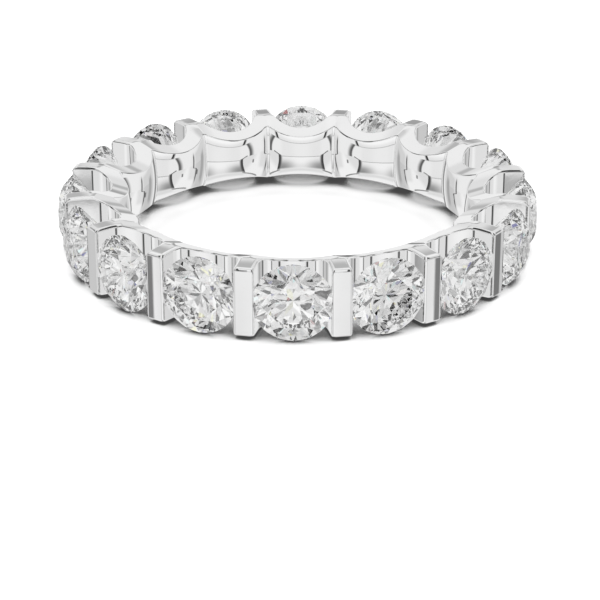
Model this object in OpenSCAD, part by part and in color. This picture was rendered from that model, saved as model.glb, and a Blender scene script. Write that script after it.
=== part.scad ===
// Eternity ring with round brilliant stones held between upright bars, lying on its side.
// The finger axis is Z. The origin is under the centre of the ring, on the surface that it lies on.

/* [Rail] */
// Finger hole across the inward bulges of the rail
finger_d = 16.9; // [16.8:0.1:17.1]
// Wall of the rail behind a stone, measured along the stone's axis
rail_wall = 0.86; // [0.75:0.01:0.95]
// Height of the rail's finger edge in the middle of a stone
rail_low_h = 2.14; // [2:0.02:2.3]
// Height of the rail's finger edge at a bar
rail_high_h = 2.98; // [2.9:0.02:3.05]
// Slope of the rail's top and bottom faces towards the finger, in degrees
rail_slope = 16.5; // [12:0.5:18]
// Distance from the finger axis to the centre of each inward bulge
bulge_centre_r = 11.32; // [11.1:0.02:11.5]

/* [Bars] */
// Distance from the finger axis to the outer face of a bar
bar_face_r = 11.6; // [11.55:0.01:11.7]
// Width of a bar
bar_w = 0.96; // [0.9:0.01:1.02]
// Length of a bar along the finger axis, at its outer face
bar_len = 3.36; // [3.3:0.02:3.4]
// Slope of a bar's ends, which fall towards the outer face, in degrees
bar_end_slope = 2.7; // [1.5:0.1:3.5]

/* [Stones] */
// Diameter of a stone at its girdle
stone_d = 3.74; // [3.7:0.01:3.78]
// Distance from the finger axis to the middle of the girdle
girdle_r = 11.25; // [11.22:0.01:11.28]
// Table width between opposite corners, as a share of the diameter
table_share = 0.56; // [0.53:0.01:0.6]
// Crown height as a share of the diameter
crown_share = 0.155; // [0.14:0.005:0.165]
// Pavilion depth as a share of the diameter
pavilion_share = 0.43; // [0.41:0.005:0.44]
// Full height of the girdle as a share of the diameter
girdle_share = 0.03; // [0.025:0.005:0.035]
// Reach of the star facets from the table to the girdle, as a share
star_share = 0.5; // [0.45:0.05:0.6]
// Reach of the lower half facets from the girdle to the culet, as a share
lower_half_share = 0.77; // [0.7:0.01:0.82]

/* [Hidden] */
STONES = 16;
PITCH = 360 / STONES;
HALF_PITCH = PITCH / 2;

// Gap left between a stone and its seat
SEAT_GAP = 0.03;
// How far cutting shapes run past what they cut
PAST = 1;
// Points round the girdle, a multiple of the sixteen half facets
GIRDLE_POINTS = 64;
$fn = 96;

stone_r = stone_d / 2;
mid_z = stone_r;
rail_inner_r = finger_d / 2;
bulge_r = bulge_centre_r - rail_inner_r;
// The floor of the trough behind a stone is an arc, which runs smoothly into the sides of both bars
trough_floor_r = rail_inner_r + rail_wall;
trough_r = (trough_floor_r * sin(HALF_PITCH) - bar_w / 2) / (1 - sin(HALF_PITCH));
trough_centre_r = trough_floor_r + trough_r;
table_r = stone_r * table_share;
girdle_half = stone_d * girdle_share / 2;
crown_h = stone_d * crown_share;
pavilion_h = stone_d * pavilion_share;

// The crease is where two neighbouring bulges meet, in the middle plane of a bar
crease_r =
    bulge_centre_r * cos(HALF_PITCH)
    - sqrt(pow(bulge_r, 2) - pow(bulge_centre_r * sin(HALF_PITCH), 2));
crease_depth = crease_r * cos(HALF_PITCH);
crease_side = crease_r * sin(HALF_PITCH);
// The rail's top face rises by this much from the middle of a stone to a bar, besides its slope
scallop_rise = (rail_high_h - rail_low_h) / 2 - (crease_depth - rail_inner_r) * tan(rail_slope);
scallop_r = (pow(crease_side, 2) + pow(scallop_rise, 2)) / (2 * scallop_rise);

function stone_name(i) = str("stone_", i < 10 ? "0" : "", i);
function stone_angle(i) = -90 + (i - 1) * PITCH;
function polar(r, a, z) = [r * cos(a), r * sin(a), z];

// Puts its children at stone i: +X points outwards along the stone's axis, +Z along the finger axis
module at_stone(i) {
    translate([0, 0, mid_z])
        rotate([0, 0, stone_angle(i)])
            children();
}

// The bars' outer faces lie on this prism's sides
module bar_face_prism_outline() {
    corner_r = bar_face_r / cos(HALF_PITCH);
    polygon([for (i = [1 : STONES]) [corner_r * cos(stone_angle(i)), corner_r * sin(stone_angle(i))]]);
}

// Side of the bar next to a stone, seen along the finger axis: its distance from the stone's axis at the
// distance d from the finger axis
function bar_side(d) = d * tan(HALF_PITCH) - bar_w / 2 / cos(HALF_PITCH);

// The open space between two bars, seen along the finger axis
module trough_outline() {
    // where the arc touches the bars' sides
    touch_d = trough_centre_r - trough_r * sin(HALF_PITCH);
    outer_d = bar_face_r + PAST;
    translate([trough_centre_r, 0])
        circle(r = trough_r);
    polygon([
        [touch_d, -bar_side(touch_d)],
        [outer_d, -bar_side(outer_d)],
        [outer_d, bar_side(outer_d)],
        [touch_d, bar_side(touch_d)]
    ]);
}

// The bars end on two flat cones
module bar_ends() {
    fall = tan(bar_end_slope);
    outer_half = bar_len / 2 - PAST * fall;
    middle_half = bar_len / 2 + bar_face_r * fall;
    outer_r = bar_face_r + PAST;
    rotate_extrude()
        polygon([[0, -middle_half], [outer_r, -outer_half], [outer_r, outer_half], [0, middle_half]]);
}

// Outline of rail and bars, seen along the finger axis
module band_outline() {
    difference() {
        intersection() {
            bar_face_prism_outline();
            union() {
                for (i = [1 : STONES])
                    rotate(stone_angle(i))
                        translate([bulge_centre_r, 0])
                            circle(r = bulge_r);
            }
        }
        for (i = [1 : STONES])
            rotate(stone_angle(i))
                trough_outline();
    }
}

// Hollows the rail's top face behind a stone: a round groove along the stone's axis that rises outwards
module scallop() {
    reach = bar_face_r - rail_inner_r + PAST;
    translate([rail_inner_r, 0, rail_low_h / 2])
        rotate([0, -rail_slope, 0])
            translate([-PAST, 0, scallop_r])
                rotate([0, 90, 0])
                    cylinder(r = scallop_r, h = reach + PAST);
}

// The stone's turned outline, enlarged by the seat's gap
module seat() {
    r = stone_r + SEAT_GAP;
    top = girdle_half + SEAT_GAP;
    crown_slope = crown_h / (stone_r - table_r);
    pavilion_slope = pavilion_h / stone_r;
    translate([girdle_r, 0, 0])
        rotate([0, 90, 0])
            rotate_extrude()
                polygon([
                    [0, -top - r * pavilion_slope],
                    [r, -top],
                    [r, top],
                    [table_r, top + (r - table_r) * crown_slope],
                    [0, top + (r - table_r) * crown_slope]
                ]);
}

module band() {
    color("#dcdee1")
        difference() {
            translate([0, 0, mid_z])
                intersection() {
                    linear_extrude(height = bar_len + 2 * PAST, center = true)
                        band_outline();
                    bar_ends();
                }
            for (i = [1 : STONES])
                at_stone(i) {
                    scallop();
                    mirror([0, 0, 1])
                        scallop();
                    seat();
                }
        }
}

// Round brilliant with its table towards +Z and the middle of its girdle at the origin. The corners of the
// table, the kite facets and the pavilion's main facets lie at (k + 1/2) * 45 degrees. The star facets and
// the tips of the half facets lie at k * 45 degrees. The half facets end on the girdle, a cylinder.
module brilliant() {
    eighth = 45;
    // points on the girdle along one half facet
    half_points = GIRDLE_POINTS / 16;
    table_z = girdle_half + crown_h;
    culet_z = -girdle_half - pavilion_h;
    table_side_r = table_r * cos(eighth / 2);
    star_r = table_side_r + star_share * (stone_r - table_side_r);
    star_z = table_z - (star_r * cos(eighth / 2) - table_r) * crown_h / (stone_r - table_r);
    tip_r = stone_r * (1 - lower_half_share);
    tip_z = culet_z + tip_r * cos(eighth / 2) * pavilion_h / stone_r;

    // Height at girdle angle a of the half facet through the point (r, z) at the nearest multiple of 45
    // degrees, which meets its neighbours on the girdle at the height rim_z
    function half_facet_z(a, r, z, rim_z) =
        let (
            turn = abs(a - round(a / eighth) * eighth) - eighth / 4,
            rim_d = stone_r * cos(eighth / 4),
            slope = (rim_z - z) / (rim_d - r * cos(eighth / 4))
        )
        rim_z + slope * (stone_r * cos(turn) - rim_d);
    function girdle_ring(r, z, rim_z) = [
        for (j = [0 : GIRDLE_POINTS - 1])
            let (a = j * 360 / GIRDLE_POINTS)
            polar(stone_r, a, half_facet_z(a, r, z, rim_z))
    ];
    function ring_of_eight(r, first, z) = [for (k = [0 : 7]) polar(r, first + k * eighth, z)];

    points = concat(
        ring_of_eight(table_r, eighth / 2, table_z),
        ring_of_eight(star_r, 0, star_z),
        ring_of_eight(tip_r, 0, tip_z),
        girdle_ring(star_r, star_z, girdle_half),
        girdle_ring(tip_r, tip_z, -girdle_half),
        [[0, 0, culet_z]]
    );
    // places of the points in that list
    function corner(k) = (k + 8) % 8;
    function star(k) = 8 + k % 8;
    function tip(k) = 16 + k % 8;
    function upper(j) = 24 + (j + GIRDLE_POINTS) % GIRDLE_POINTS;
    function lower(j) = upper(j) + GIRDLE_POINTS;
    culet = 24 + 2 * GIRDLE_POINTS;

    polyhedron(
        points = points,
        faces = [
            [for (k = [7 : -1 : 0]) corner(k)],
            for (k = [0 : 7])
                let (j = 2 * half_points * k)
                each [
                    [corner(k - 1), corner(k), star(k)],
                    [corner(k), star(k + 1), upper(j + half_points), star(k)],
                    [star(k), for (i = [half_points : -1 : 0]) upper(j + i)],
                    [star(k), for (i = [0 : -1 : -half_points]) upper(j + i)],
                    [tip(k), for (i = [0 : half_points]) lower(j + i)],
                    [tip(k), for (i = [-half_points : 0]) lower(j + i)],
                    [culet, tip(k), lower(j + half_points), tip(k + 1)]
                ],
            for (j = [0 : GIRDLE_POINTS - 1])
                [upper(j), upper(j + 1), lower(j + 1), lower(j)]
        ]
    );
}

module stone(i) {
    color("#eef2f6")
        at_stone(i)
            translate([girdle_r, 0, 0])
                rotate([0, 90, 0])
                    brilliant();
}

band();
for (i = [1 : STONES])
    stone(i);
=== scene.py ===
"""Looks of the bar set band: polished metal, cut stones, a pale floor and soft studio light.

Everything is in metres, apart from the band's own sizes and the camera's place, which are in millimetres."""

import math

import bpy
import numpy as np
from mathutils import Matrix, Vector


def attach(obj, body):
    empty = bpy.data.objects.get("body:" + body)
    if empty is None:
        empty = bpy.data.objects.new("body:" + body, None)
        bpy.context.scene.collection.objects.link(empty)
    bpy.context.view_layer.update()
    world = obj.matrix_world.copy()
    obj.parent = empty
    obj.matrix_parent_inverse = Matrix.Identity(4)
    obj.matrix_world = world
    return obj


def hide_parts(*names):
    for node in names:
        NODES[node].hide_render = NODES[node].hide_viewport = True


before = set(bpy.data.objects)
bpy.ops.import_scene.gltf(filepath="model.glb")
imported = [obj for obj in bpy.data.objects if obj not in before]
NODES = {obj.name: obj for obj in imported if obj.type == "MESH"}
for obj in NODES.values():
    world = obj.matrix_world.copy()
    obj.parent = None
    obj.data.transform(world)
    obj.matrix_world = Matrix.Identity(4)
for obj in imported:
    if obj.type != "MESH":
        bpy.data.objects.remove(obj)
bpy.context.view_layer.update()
STONE_NODES = sorted(n for n in NODES if n.startswith("stone_"))
scene = bpy.context.scene
MM = 0.001

# Sizes that the band shares with its solid. A place along a radius is a distance from the finger axis.
STONES = len(STONE_NODES)
HALF_PITCH = math.pi / STONES
STONE_R = 1.87
# The ring lies on its stones, so this is the height of its middle plane
MID_Z = STONE_R
# The rail bulges towards the finger behind each stone
FINGER_R = 8.45
BULGE_CENTRE = 11.32
BULGE_R = BULGE_CENTRE - FINGER_R
RAIL_WALL = 0.86
# Bars
FACE_R = 11.6
BAR_W = 0.96
# Round trough between two bars
TROUGH_R = ((FINGER_R + RAIL_WALL) * math.sin(HALF_PITCH) - BAR_W / 2) / (1 - math.sin(HALF_PITCH))
TROUGH_CENTRE = FINGER_R + RAIL_WALL + TROUGH_R
# Half the rail's height at the finger in the middle of a stone, the slope of its top face and its scallop
LOW_HALF = 1.07
SLOPE = math.tan(math.radians(16.5))
SCALLOP_R = 7.22
# Where a girdle is, half its height and the gap between a stone and its seat
GIRDLE_AT = 11.25
GIRDLE_HALF = 0.056
SEAT_GAP = 0.03
# The cut's proportions as shares of a stone's diameter
TABLE_SHARE = 0.56
CROWN_SHARE = 0.155
PAVILION_SHARE = 0.43
# How much narrower the crown and the pavilion grow per millimetre away from the girdle, on each side
CROWN_RUN = (1 - TABLE_SHARE) / (2 * CROWN_SHARE)
PAVILION_RUN = 1 / (2 * PAVILION_SHARE)

# What polishing adds: the radii of rounded edges
CREASE_FILLET = 0.14
EDGE = 0.075
BAR_EDGE = 0.12
BAR_ROUND = 0.19
BAR_END_ROUND = 0.2
# Highest point of a bar's end above the middle plane, where that is, and how fast the end falls outwards
BAR_CREST = 1.754
BAR_CREST_R = 10.05
BAR_FALL = 0.03
# The rounding along a bar's sides grows from nothing over this distance
ROUND_GROWTH = 0.5
# Softness of the crease between the rail's top face and the bar's end
CREASE_BLEND = 0.035
# Slope of the inner wall's barrel at its rims
BARREL = math.tan(math.radians(12))

# Half a cell lies between a stone's axis and the middle of a bar. In plan, its x axis is the stone's axis and
# these are the directions along and across the middle of the bar.
ALONG = np.array([math.cos(HALF_PITCH), math.sin(HALF_PITCH)])
ACROSS = np.array([-ALONG[1], ALONG[0]])
# Where the girdle meets the bar's side, counted along the bar, and how far the seat reaches from there
SEAT_ALONG = GIRDLE_AT / ALONG[0] - BAR_W / 2 * ALONG[1] / ALONG[0]
SEAT_REACH = 0.2

# Rows of the mesh follow each other round the finger. Each runs over the band, from the inner wall to the
# outer wall.
ROWS_FLOOR = 13
ROWS_ROOT = 6
ROWS_BEFORE_SEAT = 3
ROWS_SEAT = 13
ROWS_EDGE = 4
ROWS_CREASE = 6
# Rows on a bar's face, by their distance from the bar's side
FACE_ROWS = np.array([0.13, 0.17, 0.3, 0.48])
ROWS_SIDE = ROWS_ROOT + ROWS_BEFORE_SEAT + ROWS_SEAT + 1 + ROWS_EDGE + len(FACE_ROWS) - ROWS_CREASE
# Share of an arc's turn that the rows on the floor of the bulge and of the trough cover
INNER_FLOOR_TURN = 0.8
OUTER_FLOOR_TURN = 0.7

# Columns of the mesh on half of the inner wall, on a rounded edge and on half of the outer wall
COLS_INNER = 7
COLS_EDGE = 5
COLS_OUTER = 9
# Columns on the top face before and after its crease, as shares of the way over each part
RAIL_TOP_COLS = (0.5, 1)
BAR_TOP_COLS = (0, 0.25, 0.5, 0.7, 0.85)
# Half the width of the strip of faces that follows the crease, and the shares of the way that it may lie at
CREASE_STRIP = 0.02
CREASE_RANGE = (0.3, 0.7)


def arc(centre, radius, start, end, count):
    """count + 1 points of an arc, and their directions from the centre."""
    a = np.linspace(start, end, count + 1)
    away = np.stack([np.cos(a), np.sin(a)], 1)
    return np.array(centre) + radius * away, away


def inner_contour(lift):
    """Half a cell of the inner wall, from a stone's axis to the middle of a bar, raised by lift towards the
    finger. Returns points in plan and the directions in which the metal faces there."""
    centre = np.array([BULGE_CENTRE, 0])
    radius = BULGE_R + lift
    # the crease fillet's centre lies on the bar's middle line, one fillet radius off the bulge
    along_bar = ALONG @ centre
    reach = math.sqrt(along_bar**2 - centre @ centre + (radius + CREASE_FILLET) ** 2)
    fillet_c = ALONG * (along_bar - reach)
    to_fillet = fillet_c - centre
    bulge_end = math.atan2(to_fillet[1], to_fillet[0])
    fillet_start = math.atan2(-to_fillet[1], -to_fillet[0])
    turn_mid = math.pi - (math.pi - bulge_end) * INNER_FLOOR_TURN
    q1, m1 = arc(centre, radius, math.pi, turn_mid, ROWS_FLOOR)
    q2, m2 = arc(centre, radius, turn_mid, bulge_end, ROWS_SIDE)
    q3, m3 = arc(fillet_c, CREASE_FILLET, fillet_start, HALF_PITCH, ROWS_CREASE)
    return np.concatenate([q1, q2[1:], q3[1:]]), np.concatenate([m1, m2[1:], -m3[1:]])


def outer_contour():
    """Half a cell of the outer wall, row by row beside inner_contour: the round trough, the side of the bar,
    its edge fillet and its face."""
    side = -ACROSS * BAR_W / 2
    # the trough's arc touches the bar's side
    touch = math.atan2(ACROSS[1], ACROSS[0])
    turn_mid = math.pi - (math.pi - touch) * OUTER_FLOOR_TURN
    p1, n1 = arc([TROUGH_CENTRE, 0], TROUGH_R, math.pi, turn_mid, ROWS_FLOOR)
    p2, n2 = arc([TROUGH_CENTRE, 0], TROUGH_R, turn_mid, touch, ROWS_ROOT)
    # the bar's face is turned, so its edge fillet touches a circle about the finger axis
    across = BAR_EDGE - BAR_W / 2
    face_turn = math.asin(-across / (FACE_R - BAR_EDGE))
    edge_c = ACROSS * across + ALONG * (FACE_R - BAR_EDGE) * math.cos(face_turn)
    start, end = (p2[-1] - side) @ ALONG, edge_c @ ALONG
    # rows lie close together where the stone's girdle sits in the bar
    low, high = SEAT_ALONG - SEAT_REACH, SEAT_ALONG + SEAT_REACH
    before_seat = np.linspace(start, low, ROWS_BEFORE_SEAT + 2)[1:-1]
    s = np.concatenate([before_seat, np.linspace(low, high, ROWS_SEAT), [end]])
    p3 = side + s[:, None] * ALONG
    n3 = np.repeat(-ACROSS[None], len(s), 0)
    fillet_start = math.atan2(-ACROSS[1], -ACROSS[0])
    p4, n4 = arc(edge_c, BAR_EDGE, fillet_start, HALF_PITCH - face_turn, ROWS_EDGE)
    turn = HALF_PITCH + face_turn * (FACE_ROWS - BAR_W / 2) / (BAR_W / 2 - BAR_EDGE)
    n5 = np.stack([np.cos(turn), np.sin(turn)], -1)
    p5 = FACE_R * n5
    points = np.concatenate([p1, p2[1:], p3, p4[1:], p5])
    # the wall of the trough faces its arc's centre
    return points, np.concatenate([-n1, -n2[1:], n3, n4[1:], n5])


def seat_radius(d):
    """Radius of the room a stone needs, at the distance d from the finger axis."""
    off = np.abs(d - GIRDLE_AT) - GIRDLE_HALF - SEAT_GAP
    slope = np.where(d > GIRDLE_AT, CROWN_RUN, PAVILION_RUN)
    return STONE_R + SEAT_GAP - np.maximum(off, 0) * slope


def rail_top(p):
    """Height of the rail's scalloped slope above the middle plane at plan points p, and its gradient."""
    d, u = p[..., 0], p[..., 1]
    height = LOW_HALF + SLOPE * (d - FINGER_R) + u * u / (2 * SCALLOP_R)
    return height, np.stack([np.full(d.shape, SLOPE), u / SCALLOP_R], -1)


def bar_top(p):
    """Height of a bar's end above the middle plane at plan points p, and its gradient. The end falls gently
    outwards and is rounded along its sides and at its face."""
    out = np.maximum(p @ ALONG - BAR_CREST_R, 0)
    near = np.clip(BAR_ROUND - BAR_W / 2 - p @ ACROSS, 0, BAR_ROUND)
    grown = np.clip(out / ROUND_GROWTH, 0, 1)
    end = np.clip(BAR_END_ROUND + BAR_CREST_R - FACE_R + out, 0, BAR_END_ROUND)
    side_round = near**2 / (2 * BAR_ROUND)
    height = BAR_CREST - BAR_FALL * out**2 - grown * side_round - end**2 / (2 * BAR_END_ROUND)
    # where the rounding still grows outwards, the end falls by as much
    growth = np.where(grown < 1, side_round / ROUND_GROWTH, 0)
    fall = 2 * BAR_FALL * out + growth + end / BAR_END_ROUND
    return height, (grown * near / BAR_ROUND)[..., None] * ACROSS - fall[..., None] * ALONG


def top_height(p):
    """Height of the top face above the middle plane at plan points p, and its gradient. The face is the lower
    of the rail's slope and the bar's end, which meet in a soft crease."""
    low, low_grad = rail_top(p)
    bar, bar_grad = bar_top(p)
    diff = low - bar
    root = np.sqrt(diff * diff + CREASE_BLEND * CREASE_BLEND)
    share = ((1 - diff / root) / 2)[..., None]
    return (low + bar - root) / 2, share * low_grad + (1 - share) * bar_grad


def top_normal(p):
    """Height of the top face at plan points p, and its unit normals."""
    h, grad = top_height(p)
    n = np.concatenate([-grad, np.ones(grad.shape[:-1] + (1,))], -1)
    return h, n / np.linalg.norm(n, axis=-1, keepdims=True)


def top_point(p):
    """Points of the top face over plan points p, and their normals."""
    h, n = top_normal(p)
    return np.concatenate([p, h[:, None]], 1), n


def slerp(a, b, t):
    """Unit vectors at the share t of the turn from a to b."""
    dot = np.clip((a * b).sum(-1, keepdims=True), -1, 1)
    angle = np.arccos(dot)
    return (np.sin((1 - t) * angle) * a + np.sin(t * angle) * b) / np.sin(angle)


def inner_wall(share, rim):
    """Points and normals of the inner wall where it has this share of its rim heights. The wall is a gentle
    barrel, which stands furthest towards the finger in the middle plane."""
    lifts = rim * BARREL / 2 * (1 - share**2)
    rows = [inner_contour(lift) for lift in lifts]
    p = np.array([points[i] for i, (points, _) in enumerate(rows)])
    n = np.array([normals[i] for i, (_, normals) in enumerate(rows)])
    n = np.concatenate([n, np.full((len(n), 1), BARREL * share)], 1)
    return np.concatenate([p, (rim * share)[:, None]], 1), n / np.linalg.norm(n, axis=1, keepdims=True)


def ball_centres(p, n):
    """Centres of the balls that round the edge between a wall at p and the top face, and the top's normals
    there."""
    c = p - EDGE * n
    h, top_n = top_normal(c)
    return np.concatenate([c, (h - EDGE / top_n[:, 2])[:, None]], 1), top_n


def edge_columns(centres, first, last):
    """Columns over a rounded edge, whose normals turn from first to last."""
    normals = [slerp(first, last, t) for t in np.linspace(0, 1, COLS_EDGE)]
    return [(centres + EDGE * n, n) for n in normals]


def top_columns(a, b):
    """Columns over the top face from the plan points a by the inner wall to b by the outer wall. A narrow
    strip follows the crease, where a row crosses it."""
    run = b - a
    crease = (BAR_CREST_R - a @ ALONG) / (run @ ALONG)
    crease = np.clip(crease, *CREASE_RANGE)[:, None]
    half_strip = CREASE_STRIP / np.linalg.norm(run, axis=1, keepdims=True)
    before, after = crease - half_strip, crease + half_strip
    shares = [t * before for t in RAIL_TOP_COLS] + [after + t * (1 - after) for t in BAR_TOP_COLS]
    return [top_point(a + run * share) for share in shares]


def cut_seat(pts, nrm):
    """Presses the stone's seat into the side of the bar."""
    room = seat_radius(pts[..., 0])
    inside = (np.hypot(pts[..., 1], pts[..., 2]) < room) & (pts[..., 0] > GIRDLE_AT - 2 * SEAT_REACH)
    moved = pts.copy()
    moved[..., 1] = np.where(inside, np.sqrt(np.maximum(room**2 - pts[..., 2] ** 2, 0)), pts[..., 1])
    along, up = np.gradient(moved, axis=0), np.gradient(moved, axis=1)
    n = np.cross(up, along)
    n /= np.linalg.norm(n, axis=-1, keepdims=True)
    n *= np.sign((n * nrm).sum(-1, keepdims=True))
    return moved, np.where(inside[..., None], n, nrm)


def half_section():
    """Points and normals of the upper half of half a cell, as rows by columns by xyz, in millimetres."""
    inner, inner_n = inner_contour(0)
    outer, outer_n = outer_contour()
    inner_balls, inner_top_n = ball_centres(inner, inner_n)
    outer_balls, outer_top_n = ball_centres(outer, outer_n)
    _, inner_wall_n = inner_wall(1, inner_balls[:, 2])
    outer_wall_n = np.concatenate([outer_n, np.zeros((len(outer_n), 1))], 1)
    inner_edge = edge_columns(inner_balls, inner_wall_n, inner_top_n)
    outer_edge = edge_columns(outer_balls, outer_top_n, outer_wall_n)
    heights = np.linspace(0, 1, COLS_INNER + 1)[:-1]
    cols = [inner_wall(share, inner_balls[:, 2]) for share in heights]
    cols += inner_edge
    cols += top_columns(inner_edge[-1][0][:, :2], outer_edge[0][0][:, :2])
    cols += outer_edge
    for share in np.linspace(1, 0, COLS_OUTER + 1)[1:]:
        p = np.concatenate([outer, (outer_balls[:, 2] * share)[:, None]], 1)
        cols.append((p, outer_wall_n))
    pts, nrm = (np.stack(part, 1) for part in zip(*cols))
    return cut_seat(pts, nrm)


def mirrored_down(half):
    """The columns of the lower half, then those of the upper half, which is given. The two columns that they
    share appear once."""
    lower = (half * np.array([1, 1, -1]))[:, ::-1]
    return np.concatenate([lower, half[:, 1:]], 1)[:, :-1]


def round_the_ring(half_cell):
    """Rows of vectors all the way round the finger, from those of half a cell."""
    other_half = (half_cell * np.array([1, -1, 1]))[::-1][:-1]
    cell = np.concatenate([other_half, half_cell[:-1]])
    rows = []
    for k in range(STONES):
        a = -math.pi / 2 + 2 * k * HALF_PITCH
        turn = np.array([[math.cos(a), -math.sin(a), 0], [math.sin(a), math.cos(a), 0], [0, 0, 1]])
        rows.append(cell @ turn.T)
    return np.concatenate(rows)


def closed_surface(name, points, normals):
    """Mesh of four-sided faces over rows by columns of points, closed both ways."""
    rows, cols = points.shape[:2]
    i = np.arange(rows)[:, None] * cols
    j = np.arange(cols)[None]
    next_i = (np.arange(rows) + 1)[:, None] % rows * cols
    next_j = (np.arange(cols) + 1)[None] % cols
    quads = np.stack([i + j, i + next_j, next_i + next_j, next_i + j], -1).reshape(-1, 4)
    verts = points.reshape(-1, 3)
    mesh = bpy.data.meshes.new(name)
    mesh.vertices.add(len(verts))
    mesh.vertices.foreach_set("co", verts.astype(np.float32).ravel())
    mesh.loops.add(quads.size)
    mesh.loops.foreach_set("vertex_index", quads.astype(np.int32).ravel())
    mesh.polygons.add(len(quads))
    mesh.polygons.foreach_set("loop_start", np.arange(0, quads.size, 4, dtype=np.int32))
    mesh.update(calc_edges=True)
    mesh.validate()
    mesh.polygons.foreach_set("use_smooth", np.ones(len(mesh.polygons), bool))
    mesh.normals_split_custom_set_from_vertices(normals.reshape(-1, 3).tolist())
    return mesh


def new_object(name, data):
    """Object of this mesh or camera, in the scene."""
    ob = bpy.data.objects.new(name, data)
    scene.collection.objects.link(ob)
    return ob


def make_band():
    """The whole band: rail and bars with rounded edges."""
    points, normals = (round_the_ring(mirrored_down(half)) for half in half_section())
    mesh = closed_surface("band_surface", points * MM + np.array([0, 0, MID_Z * MM]), normals)
    return new_object("polished_band", mesh)


class Field:
    """A number worked out by math nodes, so that a pattern can be written as sums and products."""

    def __init__(self, tree, socket):
        """Takes an output socket of the tree, or a plain number."""
        self.tree, self.socket = tree, socket
        if isinstance(socket, (int, float)):
            value = tree.nodes.new("ShaderNodeValue")
            value.outputs[0].default_value = socket
            self.socket = value.outputs[0]

    def plug(self, value, place):
        """Gives a field or a plain number to an input socket."""
        if isinstance(value, Field):
            self.tree.links.new(value.socket, place)
        else:
            place.default_value = value

    def do(self, operation, *others):
        """The result of a math node that takes this field first."""
        node = self.tree.nodes.new("ShaderNodeMath")
        node.operation = operation
        for value, place in zip((self,) + others, node.inputs):
            self.plug(value, place)
        return Field(self.tree, node.outputs[0])

    def __add__(self, other):
        return self.do("ADD", other)

    def __sub__(self, other):
        return self.do("SUBTRACT", other)

    def __mul__(self, other):
        return self.do("MULTIPLY", other)

    def __rsub__(self, other):
        return (self * -1) + other

    __radd__, __rmul__ = __add__, __mul__

    def smooth(self, low, high):
        """0 at low, 1 at high, with a smooth run between them."""
        node = self.tree.nodes.new("ShaderNodeMapRange")
        node.interpolation_type = "SMOOTHSTEP"
        values = (self, low, high, 0, 1) if low < high else (self, high, low, 1, 0)
        for value, place in zip(values, node.inputs):
            self.plug(value, place)
        return Field(self.tree, node.outputs[0])

    def band(self, low, high, soft):
        """1 between low and high, with soft edges."""
        return self.smooth(low - soft, low) * self.smooth(high + soft, high)

    def mix(self, other, share):
        """This field where share is 0, the other where it is 1."""
        return self + (other - self) * share


def material(name):
    """Empty material with a Principled shader: the material, its node tree, the shader and the output."""
    made = bpy.data.materials.new(name)
    made.use_nodes = True
    tree = made.node_tree
    tree.nodes.clear()
    out = tree.nodes.new("ShaderNodeOutputMaterial")
    shader = tree.nodes.new("ShaderNodeBsdfPrincipled")
    tree.links.new(shader.outputs[0], out.inputs[0])
    return made, tree, shader, out


def grain(tree, scale, detail):
    """Soft noise fixed to the object, with this many spots to a metre."""
    where = tree.nodes.new("ShaderNodeTexCoord")
    noise = tree.nodes.new("ShaderNodeTexNoise")
    noise.inputs["Scale"].default_value = scale
    noise.inputs["Detail"].default_value = detail
    tree.links.new(where.outputs["Object"], noise.inputs["Vector"])
    return Field(tree, noise.outputs[0])


def tint(tree, shader, share, first, second):
    """Base colour between two shades."""
    mix = tree.nodes.new("ShaderNodeMix")
    mix.data_type = "RGBA"
    # for colours, the node's share and its two ends are inputs 0, 6 and 7, and the result is output 2
    tree.links.new(share.socket, mix.inputs[0])
    mix.inputs[6].default_value = first + (1,)
    mix.inputs[7].default_value = second + (1,)
    tree.links.new(mix.outputs[2], shader.inputs["Base Color"])


def mix_shaders(tree, share, first, second):
    """Output of the first shader where share is 0, of the second where it is 1."""
    mix = tree.nodes.new("ShaderNodeMixShader")
    tree.links.new(share, mix.inputs[0])
    tree.links.new(first, mix.inputs[1])
    tree.links.new(second, mix.inputs[2])
    return mix.outputs[0]


METAL_SHADE = (0.912, 0.912, 0.912)
HAZED_METAL_SHADE = (0.896, 0.896, 0.897)
STONE_SHADE = (1, 1, 1)
CLOUDED_STONE_SHADE = (0.985, 0.988, 0.985)
DIAMOND_IOR = 2.417


def metal():
    """Polished white metal. Its shine varies a little, where the polishing wheel has left a fine haze."""
    made, tree, shader, _ = material("polished_white_metal")
    shader.inputs["Metallic"].default_value = 1
    haze = grain(tree, 700, 3).smooth(0.35, 0.7)
    tint(tree, shader, haze, METAL_SHADE, HAZED_METAL_SHADE)
    roughness = 0.018 + 0.03 * haze
    tree.links.new(roughness.socket, shader.inputs["Roughness"])
    bump = tree.nodes.new("ShaderNodeBump")
    bump.inputs["Strength"].default_value = 0.05
    bump.inputs["Distance"].default_value = 0.004 * MM
    tree.links.new(grain(tree, 2500, 2).socket, bump.inputs["Height"])
    tree.links.new(bump.outputs[0], shader.inputs["Normal"])
    return made


def diamond():
    """Cut diamond. The metal mirrors the room and not the stones, so its mirrored rays pass through them."""
    made, tree, shader, out = material("cut_diamond")
    shader.inputs["Transmission Weight"].default_value = 1
    shader.inputs["IOR"].default_value = DIAMOND_IOR
    clouds = grain(tree, 900, 2).smooth(0.4, 0.65)
    tint(tree, shader, clouds, STONE_SHADE, CLOUDED_STONE_SHADE)
    roughness = 0.003 * clouds
    tree.links.new(roughness.socket, shader.inputs["Roughness"])
    path = tree.nodes.new("ShaderNodeLightPath")
    outside = Field(tree, path.outputs["Transmission Depth"]).smooth(0.6, 0.4)
    mirrored = outside * Field(tree, path.outputs["Is Glossy Ray"])
    clear = tree.nodes.new("ShaderNodeBsdfTransparent")
    seen = mix_shaders(tree, mirrored.socket, shader.outputs[0], clear.outputs[0])
    tree.links.new(seen, out.inputs[0])
    return made


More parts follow.
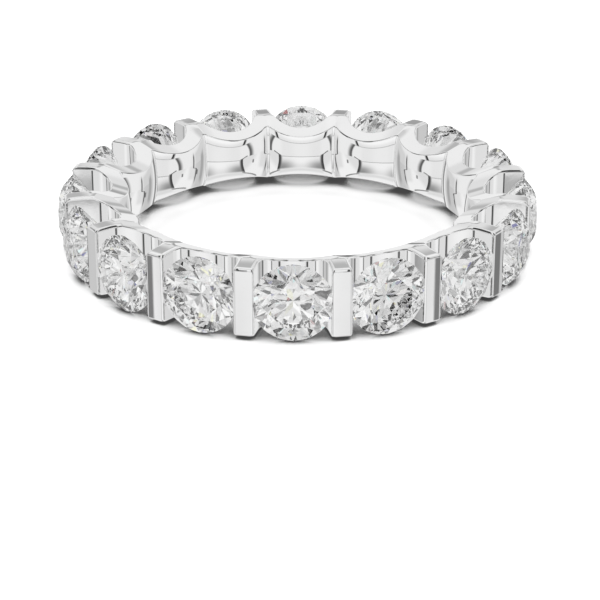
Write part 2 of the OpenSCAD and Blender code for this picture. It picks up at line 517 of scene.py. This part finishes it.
# Reach of the soft contact shadow that is painted into the floor's colour, in metres, and half the floor's
# side
SHADOW_REACH = 1.4 * MM
FLOOR_HALF = 1.5


def floor_material():
    """Pale matt floor whose colour holds painted shade: darker right under the ring, and lighter where the
    ring half hides it.
    """
    made, tree, shader, _ = material("pale_floor_painted_shadow")
    roughness = 0.55 + 0.1 * grain(tree, 60, 3)
    tree.links.new(roughness.socket, shader.inputs["Roughness"])
    shade = tree.nodes.new("ShaderNodeAmbientOcclusion")
    shade.inputs["Distance"].default_value = SHADOW_REACH
    shade.samples = 16
    lit = Field(tree, shade.outputs["AO"])
    # painted light and shade in the floor's colour, read from the ambient occlusion: a painted dark contact
    # shadow right under the ring, and a painted lift where the ring half hides the floor, which cancels part
    # of its real shade
    pale = lit.smooth(0.28, 0.47) * (0.85 - 0.17 * lit.smooth(0.6, 1)) + 0.03
    tree.links.new(pale.socket, shader.inputs["Base Color"])
    return made


def make_floor():
    """Large level square that the ring lies on."""
    mesh = bpy.data.meshes.new("floor")
    s = FLOOR_HALF
    mesh.from_pydata([(-s, -s, 0), (s, -s, 0), (s, s, 0), (-s, s, 0)], [], [(0, 1, 2, 3)])
    mesh.materials.append(floor_material())
    return new_object("floor", mesh)


# The camera as fitted to the photograph: its distance from the middle of the ring and its step aside in
# millimetres, its height above the middle plane as an angle, its pitch downwards and its turn round the ring
CAMERA_DISTANCE = 110.78
CAMERA_ASIDE = 0.1206
CAMERA_ELEVATION = math.radians(21.33)
CAMERA_PITCH = math.radians(23.588)
CAMERA_TURN = math.radians(1.0327)
CAMERA_LENS = 132.46
CAMERA_SENSOR = 36


def make_camera():
    """The photograph's camera."""
    data = bpy.data.cameras.new("camera")
    data.lens = CAMERA_LENS
    data.sensor_width = CAMERA_SENSOR
    data.clip_start = 0.002
    data.clip_end = 10
    away = CAMERA_DISTANCE * math.cos(CAMERA_ELEVATION)
    height = CAMERA_DISTANCE * math.sin(CAMERA_ELEVATION) + MID_Z
    place = Vector((CAMERA_ASIDE, -away, height)) * MM
    right = Vector((1, 0, 0))
    up = Vector((0, math.sin(CAMERA_PITCH), math.cos(CAMERA_PITCH)))
    back = Vector((0, -math.cos(CAMERA_PITCH), math.sin(CAMERA_PITCH)))
    basis = Matrix((right, up, back)).transposed().to_4x4()
    camera = new_object("camera", data)
    camera.matrix_world = Matrix.Rotation(CAMERA_TURN, 4, "Z") @ Matrix.Translation(place) @ basis
    return camera


# The polished metal mirrors a painted room. Its angles are in degrees: side is counted to the right or left
# from -Y, where the camera stands, and el upwards from the horizon. Its greys run from 0 to 1, and each later
# patch covers the ones before it.

# Degrees in a radian
DEGREES = 57.2958
# Where the bright strip over the pale board ends to the side, and how that end leans
STRIP_END, STRIP_LEAN = 46, 1.2
# Lower edge of the board, and how much higher that is at its ends
BOARD_FOOT, FOOT_RISE = -20.6, 3.8
# Where the dark gap and the dark post at the board's ends stand at their straight part, and how they curve
GAP_SIDE, GAP_CURVE = 65, 0.05
POST_SIDE, POST_CURVE = 44.5, 0.045


def pale_board(side, el):
    """Behind the camera: a wide pale board that ends upwards in a bright strip, and at its side a dark
    upright gap."""
    light = Field(side.tree, 0.905) - 0.045 * side.smooth(5, 28) + 0.05 * side.smooth(36, 46)
    in_strip = el.smooth(-2.6, -2.2)
    past_strip = side - STRIP_END - STRIP_LEAN * (el + 2.4)
    strip_grey = 0.87 + 0.16 * el.smooth(-1.5, 3.5) - 0.06 * side.smooth(15, 50)
    light = light.mix(strip_grey, in_strip * past_strip.smooth(1, 0))
    seam_under_strip = el.band(-2.9, -2.4, 0.35) * side.smooth(56, 52)
    light = light.mix(0.55, seam_under_strip)
    dim_far_part = side.smooth(90, 102) * el.smooth(-4, -10)
    light = light.mix(0.84, dim_far_part)
    # the gap is sharp on the board's side and leans in towards its top
    past_gap = side - (GAP_SIDE - GAP_CURVE * (el + 15).do("MAXIMUM", 0).do("POWER", 2))
    gap = past_gap.smooth(-4, -0.5) * past_gap.smooth(11, 0.5) * el.smooth(-20.5, -16.5)
    light = light.mix(0.12, gap * in_strip.smooth(1, 0))
    gap_at_strip = past_strip.smooth(0, 1) * past_strip.smooth(9, 4) * in_strip
    return light.mix(0.04, gap_at_strip)


def cove_and_wings(light, side, el):
    """Under the board: a rounded cove, pale in the middle and dark at its ends, and pale wings beyond it."""
    above_foot = el - (BOARD_FOOT + FOOT_RISE * side.smooth(40, 60))
    past_post = side - (POST_SIDE + POST_CURVE * (-21 - el).do("MAXIMUM", 0).do("POWER", 2))
    under = above_foot.smooth(0.15, -0.15) * el.smooth(-37.4, -34.2)
    deep = el.smooth(-22, -31)
    cove_grey = 0.965 - 0.15 * el.smooth(-26, -35) - (0.1 + 0.3 * deep) * side.smooth(5, 44)
    cove_grey = cove_grey - 0.12 * deep * side.smooth(0, 30)
    light = light.mix(cove_grey, under * past_post.smooth(4.2, 3.4))
    post = under * past_post.smooth(-6, 0) * past_post.smooth(4.2, 3.2)
    light = light.mix(0.07, post)
    shadow_over_post = above_foot.band(-0.1, 0.7, 0.7) * side.band(43, 57, 2)
    light = light.mix(0.1, shadow_over_post)
    seam_over_cove = el.band(-20.9, -20.4, 0.25) * side.smooth(44, 42)
    light = light.mix(0.45, seam_over_cove)
    wing = above_foot.smooth(0.2, -0.2) * past_post.smooth(3.4, 4.2) * el.smooth(-37.2, -36.6)
    wing_grey = Field(side.tree, 0.8).mix(0.96, (side - 1.5 * (el + 21)).smooth(66, 84))
    wing_grey = wing_grey.mix(0.8, side.smooth(84, 96) * el.smooth(-31, -27))
    wing_grey = wing_grey.mix(0.74, side.smooth(104, 124))
    return light.mix(wing_grey, wing)


def table_edge(light, side, el):
    """Lower down: the front of the table that the ring lies on, with its bright lip."""
    seam_over_table = el.band(-37.4, -36.6, 0.4) * side.band(53, 90, 4)
    light = light.mix(0.25, seam_over_table)
    table_front = el.band(-39.5, -37.6, 1) * side.smooth(60, 50)
    light = light.mix(0.78, table_front)
    return light.mix(0.95, el.smooth(-40.6, -41.6))


def far_walls(light, side, el):
    """Round the back: a soft gap, which steps aside half way up, a dark corner and paler walls."""
    past_far_gap = side - 103 - 9 * el.smooth(-19, -20.5)
    far_gap = past_far_gap.band(-1, 1, 1.5) * el.smooth(-34, -26) * el.smooth(-6, -11)
    light = light.mix(0.1, far_gap)
    corner = side.band(131, 138, 5) * el.band(-26, -16, 4)
    light = light.mix(0.5, corner)
    back_wall = side.smooth(144, 150) * el.smooth(-4, -10)
    light = light.mix(0.88, back_wall)
    dimmed = side.band(112, 150, 8) * el.band(-38, -10, 3)
    return light * (1 - 0.17 * dimmed)


def dark_things(light, x, side, el):
    """Dark things by the wall, low down at both sides, which the faces of the bars beside the front ones
    show, and a dark end of the room straight across, which every rounded edge shows along its outline."""
    right = x.smooth(-0.1, 0.1)
    low_down = el.band(-24.5, -21.8, 0.8)
    near_things = (side + 2.4 * right).band(74, 76.5, 1.5) * low_down
    light = light.mix(0.22, near_things)
    far_things = side.band(113.5, 118, 1) * low_down
    light = light.mix(Field(side.tree, 0.62).mix(0.2, right), far_things)
    dark_end = side.smooth(161, 167) * el.band(-34, -14, 4)
    return light.mix(0.25, dark_end)


def back_wall_above(side, el):
    """Above the horizon at the back: a pale wall with a dim valley, which the tops of the bars show, and a
    dark spot, which their far ends show."""
    past_valley = el - 20 - 11 * side.smooth(168, 176)
    wall = (0.92 - 0.12 * el.band(16, 34, 8)).mix(0.5, past_valley.band(-1.5, 1.5, 5.5))
    wall = wall.mix(0.96, el.smooth(42, 46))
    spot = side.smooth(172.5, 176) * el.band(12.5, 16.5, 3.5)
    return wall.mix(0.38, spot)


def lamps_above(light, x, y, side, el):
    """Above the horizon: soft lamps with dark gaps between them, a dark hood and in it a long lamp."""
    upper = Field(side.tree, 0.86) - 0.1 * side.smooth(0, 90)
    first_gap = side.band(24, 40, 2) * el.band(10, 58, 3)
    upper = upper.mix(0.03, first_gap)
    second_gap = side.band(74, 92, 3) * el.band(4, 60, 3)
    upper = upper.mix(0.04, second_gap)
    level_gap = el.band(33, 39, 1.5) * side.smooth(150, 140)
    upper = upper.mix(0.05, level_gap)
    upper = upper.mix(back_wall_above(side, el), side.smooth(130, 155))
    light = light.mix(upper, el.smooth(3, 8))
    hood = el.smooth(55, 63)
    light = light.mix(0.05, hood)
    # the long lamp runs from the front to the back and is wider at the front
    widening = 0.15 * (-1 * y).smooth(0, 0.6)
    long_lamp = (x.do("ABSOLUTE") - widening).smooth(0.23, 0.19) * el.smooth(36, 42)
    return light.mix(Field(side.tree, 0.93).mix(0.66, el.band(60, 65, 3)), long_lamp)


def painted_room(x, y, z):
    """Brightness of the room that the metal mirrors, in the direction x, y, z."""
    side = (x.do("ARCTAN2", -1 * y) * DEGREES).do("ABSOLUTE")
    el = z.do("ARCSINE") * DEGREES
    light = pale_board(side, el)
    light = cove_and_wings(light, side, el)
    light = table_edge(light, side, el)
    light = far_walls(light, side, el)
    light = dark_things(light, x, side, el)
    light = lamps_above(light, x, y, side, el)
    # underneath it is pale, and dark straight down
    return light.mix(0.9, el.smooth(-46, -50)).mix(0.2, el.smooth(-66, -74))


# The stones see cards of a few greys. Each pair is a share of the cards, counted from the darkest on, and the
# grey of the cards that come after it.
CARD_SCALE = 4.5
DARKEST_CARD = 0.02
CARD_GREYS = ((0.1, 0.36), (0.25, 0.7), (0.45, 0.84), (0.85, 1))
# Red and blue see the cards a little aside of green, and this share of that stands for the stones' fire
RED_ASIDE, BLUE_ASIDE = 0.994, 1.008
FIRE = 0.3
# The cards behind the ring are paler
PALE_CARD = 0.95


def cards(tree, direction, aside):
    """Grey of the card in a direction, which is first scaled by aside."""
    scaled = tree.nodes.new("ShaderNodeVectorMath")
    scaled.operation = "SCALE"
    scaled.inputs["Scale"].default_value = aside
    tree.links.new(direction, scaled.inputs[0])
    cells = tree.nodes.new("ShaderNodeTexVoronoi")
    cells.inputs["Scale"].default_value = CARD_SCALE
    tree.links.new(scaled.outputs[0], cells.inputs["Vector"])
    parts = tree.nodes.new("ShaderNodeSeparateColor")
    tree.links.new(cells.outputs["Color"], parts.inputs[0])
    pick = Field(tree, parts.outputs[0])
    grey = Field(tree, DARKEST_CARD)
    for share, lighter in CARD_GREYS:
        grey = grey.mix(lighter, pick.smooth(share, share + 0.01))
    return grey


def card_colour(tree, direction, y):
    """Colour of the cards in a direction: red, green and blue are each a field of greys."""
    green = cards(tree, direction, 1)
    red = green.mix(cards(tree, direction, RED_ASIDE), FIRE)
    blue = green.mix(cards(tree, direction, BLUE_ASIDE), FIRE)
    paler = 0.8 * y.smooth(0.05, 0.4)
    colour = tree.nodes.new("ShaderNodeCombineColor")
    for part, place in zip((red, green, blue), colour.inputs):
        tree.links.new(part.mix(PALE_CARD, paler).socket, place)
    return colour.outputs[0]


def background(tree, colour):
    """Background shader with this colour, which is the socket of another node."""
    shader = tree.nodes.new("ShaderNodeBackground")
    tree.links.new(colour, shader.inputs["Color"])
    return shader.outputs[0]


# Strength of the even white light that falls on matt surfaces
WHITE_LIGHT = 2.4


def make_world():
    """The studio: even white light, the room that the metal mirrors and the cards that the stones show."""
    world = bpy.data.worlds.new("studio")
    world.use_nodes = True
    tree = world.node_tree
    tree.nodes.clear()
    out = tree.nodes.new("ShaderNodeOutputWorld")
    direction = tree.nodes.new("ShaderNodeTexCoord").outputs["Generated"]
    xyz = tree.nodes.new("ShaderNodeSeparateXYZ")
    tree.links.new(direction, xyz.inputs[0])
    x, y, z = (Field(tree, part) for part in xyz.outputs)
    mirrored = background(tree, painted_room(x, y, z).socket)
    through_stones = background(tree, card_colour(tree, direction, y))
    white = tree.nodes.new("ShaderNodeBackground")
    white.inputs["Color"].default_value = (1, 1, 1, 1)
    white.inputs["Strength"].default_value = WHITE_LIGHT
    path = tree.nodes.new("ShaderNodeLightPath")
    shown = mix_shaders(tree, path.outputs["Is Transmission Ray"], mirrored, through_stones)
    # the camera itself sees plain white past the floor
    plain = Field(tree, path.outputs["Is Diffuse Ray"]) + Field(tree, path.outputs["Is Camera Ray"])
    tree.links.new(mix_shaders(tree, plain.socket, shown, white.outputs[0]), out.inputs[0])
    return world


METAL = metal()
DIAMOND = diamond()

band = make_band()
band.data.materials.append(METAL)
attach(band, "root")
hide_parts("band")

for node in STONE_NODES:
    for slot in NODES[node].material_slots:
        slot.material = DIAMOND

floor = make_floor()

scene.camera = make_camera()
scene.world = make_world()

# The photograph's metal mirrors neither the ring itself nor the floor, and its stones don't show the floor
band.visible_glossy = False
floor.visible_glossy = False
floor.visible_transmission = False

scene.view_settings.view_transform = "Standard"
scene.cycles.max_bounces = 32
scene.cycles.transmission_bounces = 24
scene.cycles.glossy_bounces = 12
